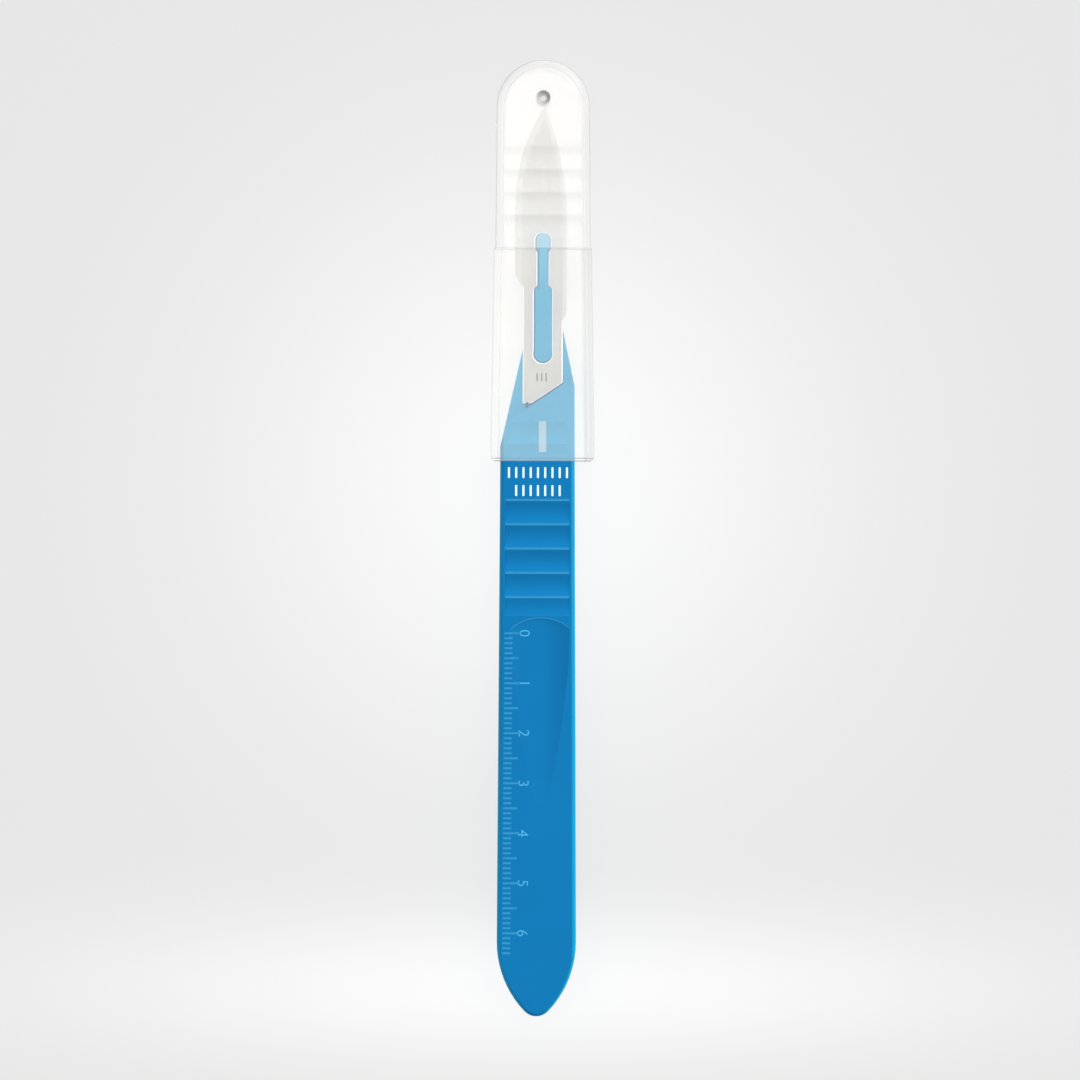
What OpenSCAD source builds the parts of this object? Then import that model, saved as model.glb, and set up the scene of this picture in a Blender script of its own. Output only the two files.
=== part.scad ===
// Disposable scalpel: a moulded handle, a steel blade and a slide-off blade guard.
// It lies flat with the blade towards +Y. X = 0 is the axis of the blade's slot and of the guard,
// Y = 0 is the middle of the whole length and Z = 0 is what it lies on.

/* [Handle] */
// From the guard's mouth to the tip of the tail
handle_reach = 111.1; // [95:0.1:125]
// Width at the guard's mouth
handle_front_w = 14.9; // [13.8:0.1:15.2]
// Width where the tail begins
handle_tail_w = 15.84; // [15.4:0.02:16.4]
// Thickness
handle_t = 4.8; // [4.4:0.1:5.6]
// Rounding of the long edges
handle_edge_r = 0.7; // [0.4:0.1:1.2]
// How far the handle's middle lies to the left of the blade's slot
handle_shift = 1; // [0.8:0.1:1.3]
// Length of the pointed tail
tail_len = 14.9; // [13:0.1:18]
// Radius of the tail's tip
tail_tip_r = 3.3; // [1.5:0.1:4]

/* [Grip] */
// Number of finger scallops
scallops = 5; // [1:1:5]
// From the guard's mouth to the first crest
scallop_start = 7.9; // [7:0.1:9]
// Distance from crest to crest
scallop_pitch = 4.86; // [4.4:0.02:4.9]
// How much shorter the last scallop is than the others
last_scallop_less = 1; // [0:0.1:2]
// Radius of each scallop
scallop_r = 7; // [5:0.1:10]
// Flat land left on each crest
crest_w = 0.26; // [0.1:0.02:0.6]
// Flat margin beside the scallops
scallop_margin = 1.0; // [0.9:0.1:2]
// Number of shallow hollows on the part that the guard covers
hollows = 2; // [1:1:2]
// From the guard's mouth to the upper crest of the shallow hollows
hollow_start = 7.8; // [7.4:0.1:8.2]
// Distance from crest to crest of the shallow hollows
hollow_pitch = 4.4; // [4:0.1:4.6]
// Radius of each shallow hollow
hollow_r = 16; // [12:0.5:24]
// Flat margin beside the shallow hollows
hollow_margin = 1.6; // [1.3:0.1:2.5]
// From the last scallop to the top of the thumb scoop
scoop_gap = 0.4; // [0.2:0.1:2]
// Length over which the thumb scoop runs out
scoop_len = 37; // [30:1:60]
// Depth of the thumb scoop at its upper end
scoop_depth = 0.7; // [0.4:0.1:1.2]
// Radius across the thumb scoop
scoop_r = 30; // [20:0.5:40]
// Radius of the thumb scoop's upper end
scoop_end_r = 9; // [8:0.1:10]
// How far the middle of the thumb scoop lies to the left of the blade's slot
scoop_shift = 0.3; // [0:0.1:1]
// Flat margin beside the thumb scoop
scoop_margin = 1.2; // [1:0.1:2.5]

/* [Ruler] */
// From the last mark of the scale to the tail's tip, or up to a millimetre more
ruler_end_gap = 12.5; // [11.5:0.5:60]
// From the top of the thumb scoop to the zero mark
ruler_start = 3.1; // [1:0.1:4]
// Inset of the marks from the left side
ruler_inset = 1.1; // [1:0.1:1.6]
// Length of a millimetre mark
mark_len = 1.6; // [1:0.1:2]
// Length of a half-centimetre mark
half_mark_len = 2.8; // [2:0.1:3]
// Length of a centimetre mark
long_mark_len = 3.2; // [3:0.1:4]
// Width of a mark
mark_w = 0.3; // [0.2:0.05:0.5]
// How far a mark stands out
mark_h = 0.12; // [0.05:0.01:0.2]

/* [Nose] */
// From the guard's mouth to the left shoulder
left_shoulder = 3; // [1:0.1:5]
// Lean of the left shoulder
left_shoulder_angle = 12.9; // [10:0.1:16]
// From the guard's mouth to the right shoulder
right_shoulder = 15; // [12:0.1:18]
// Lean of the right shoulder
right_shoulder_angle = 11.8; // [9:0.1:14]
// Width of the tongue under the blade
tongue_w = 6.6; // [4.5:0.1:7.4]
// Thickness of the tongue under the blade
tongue_t = 2.2; // [1.6:0.1:2.8]
// Tongue beyond the boss
tongue_lip = 1.3; // [0.5:0.1:3]
// Depth of the blade's seat below the front face
seat_depth = 1.4; // [1:0.1:1.8]
// Gap between the blade's end and the wall of the seat
seat_gap = 0.3; // [0.2:0.1:1.2]
// Length of the slope on the back of the nose
back_slope_len = 12; // [8:0.5:20]
// How far the boss stands out of the blade's slot
boss_proud = 0.35; // [0.1:0.05:0.6]
// Clearance round the boss in the blade's slot
boss_clearance = 0.1; // [0.05:0.01:0.2]
// Bevel round the top of the boss
boss_bevel = 0.2; // [0.05:0.05:0.3]

/* [Blade] */
// From the guard's mouth to the end of the tang
tang_start = 11.6; // [10:0.1:13]
// Overall length
blade_len = 59.4; // [57:0.1:61]
// Thickness
blade_t = 0.45; // [0.3:0.01:0.6]
// From the slot's axis to the cutting edge
edge_reach = 5.6; // [5.2:0.05:6.2]
// From the slot's axis to the back edge
spine_reach = 4.8; // [4.6:0.05:5.2]
// How far the tip lies to the right of the slot's axis
tip_shift = 0.3; // [-0.5:0.1:1]
// Radius of the curved cutting edge
edge_curve_r = 36.5; // [32:0.5:45]
// Radius of the curved back edge
spine_curve_r = 60; // [48:0.5:70]
// Width of the ground cutting bevel
bevel_w = 1.3; // [0.6:0.1:2]
// Width of the chamfer on the back edge
spine_chamfer_w = 0.8; // [0.2:0.05:1]
// Thickness left at the cutting edge
edge_land = 0.06; // [0.04:0.01:0.1]
// Thickness left at the back edge
spine_land = 0.21; // [0.15:0.01:0.28]
// Width of the tang
tang_w = 8; // [7.6:0.1:8.8]
// Width of the square foot at the tang's end
tang_foot_w = 1.8; // [1:0.1:3]
// Slope of the tang's end
tang_angle = 33.5; // [25:0.5:40]
// From the tang's end to the heel of the cutting edge
heel_height = 25.6; // [24:0.1:28]
// Height of the slope below the heel
heel_slope = 2.2; // [1:0.1:3]
// From the tang's end to the notch in the back edge
notch_height = 18.2; // [15:0.1:20]
// Height of the slope below the notch
notch_slope = 1.6; // [1:0.1:2.5]
// Radius of the break-off nick in the tang's foot
nick_r = 0.25; // [0.1:0.05:0.4]

/* [Slot] */
// From the tang's end to the centre of the slot's foot
slot_foot_height = 9.9; // [9:0.1:11]
// Radius of the slot's foot
slot_foot_r = 1.9; // [1.85:0.05:2.2]
// Width of the slot's wide part
slot_w = 3.6; // [3:0.1:3.7]
// From the tang's end to the narrowing of the slot
slot_step_height = 22.8; // [20:0.1:24]
// Height of the narrowing
slot_step = 0.8; // [0.4:0.1:1.5]
// Width of the slot's neck
slot_neck_w = 2.2; // [1.8:0.1:2.6]
// From the tang's end to the centre of the slot's head
slot_head_height = 32.6; // [30:0.1:34]
// Length of the straight sides below the slot's head
slot_head_len = 1.6; // [0.5:0.1:3]
// Radius of the slot's head
slot_head_r = 1.55; // [1.4:0.05:1.8]
// Width of the stamped rim round the slot and the tang
rim_w = 0.2; // [0.1:0.02:0.3]
// Depth of the stamped rim
rim_h = 0.06; // [0.04:0.01:0.2]

/* [Blade guard] */
// From the blade's tip to the guard's closed end
tip_gap = 9.3; // [8.5:0.1:15]
// Width at the mouth
mouth_w = 20.8; // [20.4:0.1:22]
// Width of the sleeve just below the step
sleeve_top_w = 19.56; // [19.2:0.02:20]
// From the mouth to the step
step_height = 42.6; // [40:0.1:44]
// How far the cap is set in at the step
step_inset = 0.25; // [0.1:0.05:0.4]
// Radius of the closed end
end_r = 9.3; // [9.1:0.05:9.45]
// Rounding of the long edges
guard_edge_r = 2; // [1.6:0.1:2.6]
// Rounding of the mouth's corners
mouth_corner_r = 1; // [0.5:0.1:1.3]
// Front and back walls of the sleeve
sleeve_wall = 1.1; // [0.9:0.1:1.4]
// Side walls of the sleeve
sleeve_side_wall = 1.4; // [1:0.1:1.6]
// Side walls of the cap
cap_side_wall = 1.4; // [1.2:0.1:2]
// Height of the cap's hollow
cap_hollow_t = 4.4; // [4.2:0.1:4.6]
// Gap between the boss and the cap's front wall
boss_gap = 0.5; // [0.3:0.1:0.6]
// Clearance between the handle and the sleeve, front and back
guard_clearance = 0.3; // [0.28:0.02:0.5]
// Rounding inside the hollow
hollow_edge_r = 1; // [0.5:0.1:1.4]
// Radius of the hole at the closed end
hole_r = 0.7; // [0.5:0.1:1.1]
// Chamfer of the hole on both faces
hole_chamfer = 0.7; // [0.3:0.1:0.9]
// From the closed end to the middle of the hole
hole_inset = 7.6; // [6:0.1:8]
// Number of grip ridges on each face of the cap
ridges = 4; // [1:1:4]
// From the closed end to the first crest
ridge_start = 17.3; // [16:0.1:18]
// Distance from crest to crest
ridge_pitch = 4.6; // [4:0.1:4.8]
// Radius of each hollow between the crests
ridge_r = 7.5; // [6:0.1:12]
// Width of the ridges
ridge_len = 16; // [12:0.5:16.5]
// Retention rib inside the sleeve: width
rib_w = 1.5; // [1:0.1:2.5]
// Retention rib: length
rib_len = 6.2; // [4:0.1:8]
// Retention rib: from the mouth
rib_start = 1.8; // [1.5:0.1:4]
// Retention rib: how far it stands in
rib_proud = 0.24; // [0.1:0.02:0.26]
// Radius of the moulding gate's stub
gate_r = 0.45; // [0.3:0.05:0.6]
// How far the gate's stub stands out
gate_proud = 0.4; // [0.2:0.05:0.6]
// From the closed end to the gate's stub
gate_inset = 12.9; // [11:0.1:15]

/* [Hidden] */
$fn = 96;
// Overrun of cuts and masks past what they cut
over = 1;
// Longer and wider than the whole object
far = 300;
// Step of a hair's width where a round end joins its sides, and how far the end runs on inside them
seam = 0.01;
seam_angle = 5;

// Heights of the handle and of what sits on it
handle_z = sleeve_wall + guard_clearance;
face_z = handle_z + handle_t;
seat_z = face_z - seat_depth;
boss_top_z = seat_z + blade_t + boss_proud;
tongue_z = seat_z - tongue_t;
sleeve_t = handle_t + 2 * (sleeve_wall + guard_clearance);
cap_hollow_top = boss_top_z + boss_gap;

// The guard covers the blade, and its mouth is placed from the middle of the whole length
guard_len = tang_start + blade_len + tip_gap;
mouth_y = (handle_reach - guard_len) / 2;

// Sides and tail of the handle, measured from the handle's own axis and the guard's mouth
front_half = handle_front_w / 2;
tail_half = handle_tail_w / 2;
tail_y = tail_len - handle_reach;
handle_lean = atan2(-tail_y, front_half) - acos(tail_half / norm([front_half, tail_y]));
tip_drop = tail_len - tail_tip_r;
flank_r = (tail_half ^ 2 + tip_drop ^ 2 + 2 * tip_drop * tail_half * sin(handle_lean) - tail_tip_r ^ 2)
    / (2 * (tail_half + tip_drop * sin(handle_lean) - tail_tip_r));
flank_x = (flank_r - tail_half) * cos(handle_lean);
flank_drop = (flank_r - tail_half) * sin(handle_lean);
// Where the tip's arc meets each flank, as an angle below the cross axis
tip_angle = atan2(tip_drop - flank_drop, flank_x);

// Distance from the handle's axis to its side at y
function side_at(y) = front_half - y * tan(handle_lean);

// Grip and ruler, measured from the guard's mouth
scallop_chord = scallop_pitch - crest_w;
last_chord = scallop_chord - last_scallop_less;
scoop_y = -scallop_start - (scallops - 1) * scallop_pitch - last_chord - scoop_gap;
scoop_tilt = atan(scoop_depth / scoop_len);
ruler_y = scoop_y - ruler_start;
ruler_len = floor(handle_reach - ruler_end_gap + ruler_y);

// Blade, measured from the slot's axis and the tang's end
tip_y = blade_len;
edge_tangent_y = tip_y - sqrt(edge_curve_r ^ 2 - (edge_curve_r - edge_reach - tip_shift) ^ 2);
spine_tangent_y = tip_y - sqrt(spine_curve_r ^ 2 - (spine_curve_r - spine_reach + tip_shift) ^ 2);
tang_half = tang_w / 2;
tang_rise = (tang_w - tang_foot_w) * tan(tang_angle);

// Tongue of the handle's nose, measured from the guard's mouth
tongue_half = tongue_w / 2;
tongue_end = tang_start + slot_head_height + slot_head_r - boss_clearance + tongue_lip;

// Cap of the guard, measured from the guard's mouth
end_y = guard_len - end_r;
cap_half = sleeve_top_w / 2 - step_inset;
cap_hollow_z = cap_hollow_top - cap_hollow_t;
cap_t = sleeve_t - 2 * step_inset;

// Section of a flat bar, t thick: square at the left and rounded at the right end
module rounded_section(reach, t, r) {
    translate([-far, 0]) square([far + reach - r, t]);
    translate([-far, r]) square([far + reach, t - 2 * r]);
    for (z = [r, t - r]) translate([reach - r, z]) circle(r);
}

// Half of that section, from the axis outwards, to be turned into a disc
module disc_section(radius, t, r) {
    intersection() {
        rounded_section(radius, t, r);
        square([radius + over, t]);
    }
}

// Flat bar along Y with its right edge rounded, from y0 to y1
module side_bar(reach, y0, y1, t, r) {
    translate([0, y1, 0]) rotate([90, 0, 0]) linear_extrude(y1 - y0) rounded_section(reach, t, r);
}

// Sector of a disc with a rounded rim, from angle a0 to a1
module disc_sector(radius, t, r, a0, a1) {
    rotate([0, 0, a0]) rotate_extrude(angle = a1 - a0) disc_section(radius, t, r);
}

// The same, to fill a round end between two sides that end in the planes at a0 and a1
module joining_sector(radius, t, r, a0, a1) {
    disc_sector(radius - seam, t, r, a0 - seam_angle, a1 + seam_angle);
}

// Both mirror images of a shape about the YZ plane
module both_sides() {
    children();
    mirror([1, 0, 0]) children();
}

// One side of the handle: it leans outwards down to the tail and then turns in along the flank
module handle_side() {
    translate([0, tail_y, 0]) rotate([0, 0, handle_lean]) {
        side_bar(tail_half, 0, far, handle_t, handle_edge_r);
        translate([tail_half - flank_r, 0, 0]) disc_sector(flank_r, handle_t, handle_edge_r, 270, 360);
    }
}

// Wedge from the centre of the tail's tip, past the point where the flanks would meet
module tip_wedge() {
    reach = 4 * tail_tip_r;
    edge = [reach * cos(tip_angle), -reach * sin(tip_angle)];
    translate([0, 0, -over]) linear_extrude(handle_t + 2 * over)
        polygon([[0, 0], [-edge.x, edge.y], edge]);
}

// Full thickness of the handle, about its own axis, with the rounded tip
module handle_bar() {
    difference() {
        intersection() {
            handle_side();
            mirror([1, 0, 0]) handle_side();
        }
        translate([0, tail_y - tip_drop, 0]) tip_wedge();
    }
    translate([0, tail_y - tip_drop, 0])
        joining_sector(tail_tip_r, handle_t, handle_edge_r, 180 + tip_angle, 360 - tip_angle);
}

// Plan of the handle's front: the shoulders lean in behind the blade and end in a round tongue
module nose_plan() {
    left_x = -handle_shift - side_at(left_shoulder);
    right_x = -handle_shift + side_at(right_shoulder);
    left_tongue_y = left_shoulder + (-tongue_half - left_x) / tan(left_shoulder_angle);
    right_tongue_y = right_shoulder + (right_x - tongue_half) / tan(right_shoulder_angle);
    tongue_round_y = tongue_end - tongue_half;
    polygon([
        [-far, -far], [-far, left_shoulder], [left_x, left_shoulder],
        [-tongue_half, left_tongue_y], [-tongue_half, tongue_round_y],
        [tongue_half, tongue_round_y], [tongue_half, right_tongue_y],
        [right_x, right_shoulder], [far, right_shoulder], [far, -far]
    ]);
    translate([0, tongue_round_y]) circle(tongue_half);
}

// Space above the blade's seat, behind a wall that runs along the slope of the tang's end
module seat_cut() {
    translate([tang_foot_w - tang_half, tang_start, seat_z]) rotate([0, 0, tang_angle])
        translate([-far / 2, -seat_gap, 0]) cube([far, far, seat_depth + over]);
}

// Space under the nose, which slopes up to the back of the tongue
module back_cut() {
    rotate([90, 0, 90]) linear_extrude(2 * far, center = true) polygon([
        [left_shoulder, handle_z - over], [left_shoulder, handle_z],
        [left_shoulder + back_slope_len, tongue_z],
        [far, tongue_z], [far, handle_z - over]
    ]);
}

// Hollow along X between two crests, chord long, cut into a face at z with its upper crest at y
module scallop(y, z, chord, r, length) {
    translate([0, y - chord / 2, z + sqrt(r ^ 2 - (chord / 2) ^ 2)])
        rotate([0, 90, 0]) cylinder(h = length, r = r, center = true);
}

// The finger scallops of the handle's front, of which the last is shorter
module grip_scallops() {
    length = 2 * (side_at(-scallop_start) - scallop_margin);
    for (i = [0 : scallops - 1]) {
        y = -scallop_start - i * scallop_pitch;
        chord = i == scallops - 1 ? last_chord : scallop_chord;
        scallop(y, handle_t, chord, scallop_r, length);
    }
}

// Shallow hollows of the handle's front on the part that the guard covers
module covered_hollows() {
    length = 2 * (side_at(0) - hollow_margin);
    for (i = [0 : hollows - 1])
        scallop(hollow_start - i * hollow_pitch, handle_t, hollow_pitch, hollow_r, length);
}

// Long thumb scoop with a round upper end, which runs out towards the tail.
// Its surface lies higher than the handle's by the raise.
module thumb_scoop(raise) {
    right_x = -handle_shift + side_at(scoop_y) - scoop_margin;
    end_r = scoop_end_r - raise;
    intersection() {
        translate([-scoop_shift, scoop_y, face_z - scoop_depth + scoop_r])
            rotate([90 - scoop_tilt, 0, 0]) translate([0, 0, -over])
            cylinder(h = scoop_len + 2 * over, r = scoop_r - raise);
        translate([0, 0, face_z - 2 * scoop_depth]) linear_extrude(3 * scoop_depth) intersection() {
            union() {
                translate([-scoop_shift, scoop_y - scoop_end_r]) circle(end_r);
                translate([-scoop_shift - end_r, scoop_y - scoop_end_r - scoop_len])
                    square([2 * end_r, scoop_len]);
            }
            translate([-far, -far]) square([far + right_x, 2 * far]);
        }
    }
}

function length_of_mark(i) = i % 10 == 0 ? long_mark_len : i % 5 == 0 ? half_mark_len : mark_len;

// Raised marks of the scale, a millimetre apart, which follow the left side and the thumb scoop
module ruler_marks() {
    root = 1.5 * scoop_depth;
    difference() {
        for (i = [0 : ruler_len]) {
            y = ruler_y - i;
            translate([ruler_inset - handle_shift - side_at(y), y - mark_w / 2, face_z - root])
                cube([length_of_mark(i), mark_w, root + mark_h]);
        }
        thumb_scoop(mark_h);
    }
}

// Plan of the blade's slot, smaller by the gap all round
module slot_plan(gap) {
    neck = slot_neck_w / 2 - gap;
    wide = slot_w / 2 - gap;
    head = slot_head_r - gap;
    narrowing = slot_step_height - gap;
    widening = slot_head_height - slot_head_len + gap;
    translate([0, slot_foot_height]) circle(slot_foot_r - gap);
    translate([0, slot_head_height]) circle(head);
    polygon([
        [-wide, slot_foot_height], [wide, slot_foot_height], [wide, narrowing],
        [neck, narrowing + slot_step], [neck, widening - slot_step], [head, widening],
        [head, slot_head_height], [-head, slot_head_height], [-head, widening],
        [-neck, widening - slot_step], [-neck, narrowing + slot_step], [-wide, narrowing]
    ]);
}

// Bar along Y from y0 to y1, which widens by the flare on each side over its height
module flared_bar(half, y0, y1, h, flare) {
    translate([0, y1, 0]) rotate([90, 0, 0]) linear_extrude(y1 - y0)
        polygon([[-half, 0], [half, 0], [half + flare, h], [-half - flare, h]]);
}

// Top of the slot's form, h high, whose sides lean out by the flare, or in if it is negative
module slot_rim(gap, h, flare) {
    foot = slot_foot_r - gap;
    head = slot_head_r - gap;
    translate([0, slot_foot_height, 0]) cylinder(h = h, r1 = foot, r2 = foot + flare);
    translate([0, slot_head_height, 0]) cylinder(h = h, r1 = head, r2 = head + flare);
    flared_bar(slot_w / 2 - gap, slot_foot_height, slot_step_height, h, flare);
    flared_bar(slot_neck_w / 2 - gap, slot_step_height, slot_head_height, h, flare);
    flared_bar(head, slot_head_height - slot_head_len + gap, slot_head_height, h, flare);
}

// Boss that fills the blade's slot, bevelled at its top
module boss() {
    root = tongue_t / 2;
    straight = boss_top_z - boss_bevel - seat_z;
    translate([0, tang_start, seat_z]) {
        translate([0, 0, -root]) linear_extrude(root + straight) slot_plan(boss_clearance);
        translate([0, 0, straight]) slot_rim(boss_clearance, boss_bevel, -boss_bevel);
    }
}

// The handle, with its scale and the boss that holds the blade
module handle() {
    color("#157ebf") translate([0, mouth_y, 0]) {
        difference() {
            intersection() {
                translate([-handle_shift, 0, handle_z]) handle_bar();
                linear_extrude(far) nose_plan();
            }
            seat_cut();
            back_cut();
            translate([-handle_shift, 0, handle_z]) {
                grip_scallops();
                covered_hollows();
                translate([0, 0, handle_t]) mirror([0, 0, 1]) grip_scallops();
            }
            thumb_scoop(0);
        }
        ruler_marks();
        boss();
    }
}

// Section of the blade's side: ground from both faces to a thin land at its right end
module ground_section(reach, width, land) {
    polygon([
        [-far, 0], [reach - width, 0], [reach, (blade_t - land) / 2],
        [reach, (blade_t + land) / 2], [reach - width, blade_t], [-far, blade_t]
    ]);
}

// Half of the blade's body: straight up to y, then curved in with radius r
module blade_side(reach, y, r, width, land) {
    translate([0, y, 0]) rotate([90, 0, 0]) linear_extrude(far) ground_section(reach, width, land);
    translate([reach - r, y, 0]) rotate_extrude(angle = 90) intersection() {
        ground_section(r, width, land);
        square([r, blade_t]);
    }
}

// Plan of the tang, with nothing cut from the blade above the heel
module tang_plan() {
    notch_x = spine_reach + over;
    heel_x = -edge_reach - over;
    polygon([
        [heel_x, far], [heel_x, heel_height], [-edge_reach, heel_height],
        [-tang_half, heel_height - heel_slope], [-tang_half, 0], [tang_foot_w - tang_half, 0],
        [tang_half, tang_rise], [tang_half, notch_height - notch_slope],
        [spine_reach, notch_height], [notch_x, notch_height], [notch_x, far]
    ]);
}

// Cut along the top edge from p to q, for an edge with the blade on its left
module edge_rim(p, q) {
    run = q - p;
    translate([p.x, p.y, blade_t]) rotate([0, 0, atan2(run.y, run.x)]) rotate([90, 0, 90])
        linear_extrude(norm(run)) polygon([[rim_w, 0], [0, -rim_h], [-over, -rim_h], [-over, 0]]);
}

// Stamped rim round the slot and the tang's end
module stamped_rims() {
    foot = [tang_foot_w - tang_half, 0];
    slope_end = [tang_half, tang_rise];
    translate([0, 0, blade_t - rim_h]) slot_rim(0, rim_h, rim_w);
    edge_rim([-tang_half, heel_height - heel_slope], [-tang_half, 0]);
    edge_rim([-tang_half, 0], foot);
    edge_rim(foot, slope_end);
    edge_rim(slope_end, [tang_half, notch_height - notch_slope]);
}

// The blade on its seat, ground on both sides and slotted
module blade() {
    color("#d9d9d6") translate([0, mouth_y + tang_start, seat_z]) difference() {
        intersection() {
            blade_side(spine_reach, spine_tangent_y, spine_curve_r, spine_chamfer_w, spine_land);
            mirror([1, 0, 0])
                blade_side(edge_reach, edge_tangent_y, edge_curve_r, bevel_w, edge_land);
            linear_extrude(blade_t) tang_plan();
        }
        translate([0, 0, -over]) linear_extrude(blade_t + 2 * over) {
            slot_plan(0);
            translate([tang_foot_w / 2 - tang_half, 0]) circle(nick_r);
        }
        stamped_rims();
    }
}

// Turn of a side that passes (half, 0) and touches a circle of radius r whose centre is h further on
function tangent_lean(half, h, r) = acos(r / norm([half, h])) - atan2(h, half);

// Tapered flat bar from y0 to y1, w0 and w1 wide there, with rounded long edges
module tapered_bar(w0, w1, y0, y1, t, r) {
    lean = atan2((w0 - w1) / 2, y1 - y0);
    intersection() {
        translate([0, y0, 0]) rotate([0, 0, lean]) side_bar(w0 / 2 * cos(lean), -far, far, t, r);
        mirror([1, 0, 0])
            translate([0, y0, 0]) rotate([0, 0, lean]) side_bar(w0 / 2 * cos(lean), -far, far, t, r);
        translate([-far, y0, -over]) cube([2 * far, y1 - y0, t + 2 * over]);
    }
}

// Flat bar that tapers from half the given width at y0 into a round end
module round_ended_bar(half, y0, end_radius, t, r) {
    lean = tangent_lean(half, end_y - y0, end_radius);
    translate([0, end_y, 0]) {
        intersection() {
            both_sides() rotate([0, 0, lean]) intersection() {
                side_bar(end_radius, -far, 0, t, r);
                translate([-end_radius / 2, -far, 0]) cube([far, far, t]);
            }
            translate([-far, y0 - end_y, -over]) cube([2 * far, far, t + 2 * over]);
        }
        joining_sector(end_radius, t, r, lean, 180 - lean);
    }
}

// Square corner less its quarter circle, to round the right corner of the mouth
module mouth_corner() {
    translate([mouth_w / 2 - mouth_corner_r, mouth_corner_r, -over]) rotate([0, 0, -90])
        linear_extrude(sleeve_t + 2 * over) difference() {
            square(mouth_corner_r + over);
            circle(mouth_corner_r);
        }
}

// Grip ridges on the cap's front face
module ridge_hollows() {
    for (i = [0 : ridges - 1])
        scallop(guard_len - ridge_start - i * ridge_pitch, cap_t, ridge_pitch, ridge_r, ridge_len);
}

// Outside of the cap, ridged on both faces
module cap_outside() {
    difference() {
        round_ended_bar(cap_half, step_height, end_r, cap_t, guard_edge_r);
        ridge_hollows();
        translate([0, 0, cap_t]) mirror([0, 0, 1]) ridge_hollows();
    }
}

// Hollow of the sleeve and, narrower, of the cap
module guard_hollow() {
    translate([0, 0, sleeve_wall]) tapered_bar(
        mouth_w - 2 * sleeve_side_wall, sleeve_top_w - 2 * sleeve_side_wall,
        0, step_height, sleeve_t - 2 * sleeve_wall, hollow_edge_r
    );
    translate([0, 0, cap_hollow_z]) round_ended_bar(
        cap_half - cap_side_wall, step_height, end_r - cap_side_wall, cap_hollow_t, hollow_edge_r
    );
}

// Hole through both walls of the cap, chamfered on both faces
module end_hole() {
    rim_r = hole_r + hole_chamfer;
    translate([0, guard_len - hole_inset, 0]) {
        translate([0, 0, -over]) cylinder(h = sleeve_t + 2 * over, r = hole_r);
        translate([0, 0, step_inset]) {
            cylinder(h = hole_chamfer, r1 = rim_r, r2 = hole_r);
            translate([0, 0, cap_t - hole_chamfer]) cylinder(h = hole_chamfer, r1 = hole_r, r2 = rim_r);
        }
    }
}

// The hollow guard, with its retention rib and the stub of its moulding gate
module blade_guard() {
    color("#f2f2ee", 0.5) translate([0, mouth_y, 0]) {
        difference() {
            union() {
                tapered_bar(mouth_w, sleeve_top_w, 0, step_height, sleeve_t, guard_edge_r);
                translate([0, 0, step_inset]) cap_outside();
            }
            guard_hollow();
            both_sides() mouth_corner();
            end_hole();
        }
        translate([-rib_w / 2, rib_start, sleeve_t - sleeve_wall - rib_proud])
            cube([rib_w, rib_len, rib_proud + sleeve_wall / 2]);
        translate([-end_r - gate_proud, guard_len - gate_inset, sleeve_t / 2])
            rotate([0, 90, 0]) cylinder(h = gate_proud + cap_side_wall / 2, r = gate_r);
    }
}

handle();
blade();
blade_guard();
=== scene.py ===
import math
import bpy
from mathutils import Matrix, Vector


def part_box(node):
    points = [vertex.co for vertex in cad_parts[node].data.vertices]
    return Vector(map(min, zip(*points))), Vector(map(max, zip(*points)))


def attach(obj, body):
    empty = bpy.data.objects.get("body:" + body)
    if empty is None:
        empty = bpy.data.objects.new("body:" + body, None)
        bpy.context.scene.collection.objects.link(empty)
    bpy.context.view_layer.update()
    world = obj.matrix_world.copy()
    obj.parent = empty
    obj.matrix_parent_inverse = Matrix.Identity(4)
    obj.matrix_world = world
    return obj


bl_info = {
    "name": "Disposable scalpel",
    "version": (1, 0, 0),
    "blender": (4, 5, 0),
    "location": "View3D > Sidebar > Scalpel",
    "description": "Finishes and marks of a disposable scalpel, and the stage that shows it",
    "category": "Object",
}

import bpy
from mathutils import Vector

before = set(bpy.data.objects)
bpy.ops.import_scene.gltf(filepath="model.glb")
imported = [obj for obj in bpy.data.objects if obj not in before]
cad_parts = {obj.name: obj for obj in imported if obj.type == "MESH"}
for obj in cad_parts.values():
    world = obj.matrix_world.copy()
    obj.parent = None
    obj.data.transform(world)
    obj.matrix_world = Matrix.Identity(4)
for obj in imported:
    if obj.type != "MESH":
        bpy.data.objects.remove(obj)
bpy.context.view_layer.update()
MM = 0.001

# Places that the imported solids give
HANDLE_LOW, HANDLE_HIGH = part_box("handle")
BLADE_LOW, BLADE_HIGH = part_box("blade")
GUARD_LOW, GUARD_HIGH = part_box("blade_guard")
MARK_HEIGHT, MARK_PITCH = 0.12 * MM, 1.0 * MM
FACE_Z = HANDLE_HIGH.z - MARK_HEIGHT
MOUTH_Y = GUARD_LOW.y
HOLE_Y = GUARD_HIGH.y - 7.6 * MM
HOLE_RIM_R = 1.4 * MM
GUARD_MIDDLE = (GUARD_LOW + GUARD_HIGH) / 2
SCALLOPS, SCALLOP_PITCH = 5, 4.86 * MM
LAST_CREST_Y = MOUTH_Y - 8.0 * MM - (SCALLOPS - 1) * SCALLOP_PITCH
HANDLE_MIDDLE_X, CREST_HALF = -1.0 * MM, 6.45 * MM
FRONT_HALF, TAIL_HALF = 7.45 * MM, 7.92 * MM
RIDGES, RIDGE_PITCH, RIDGE_HALF = 4, 4.6 * MM, 8.0 * MM
RIDGE_TOP_Y = GUARD_HIGH.y - 17.3 * MM
SEAT_Z = FACE_Z - 1.4 * MM

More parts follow.
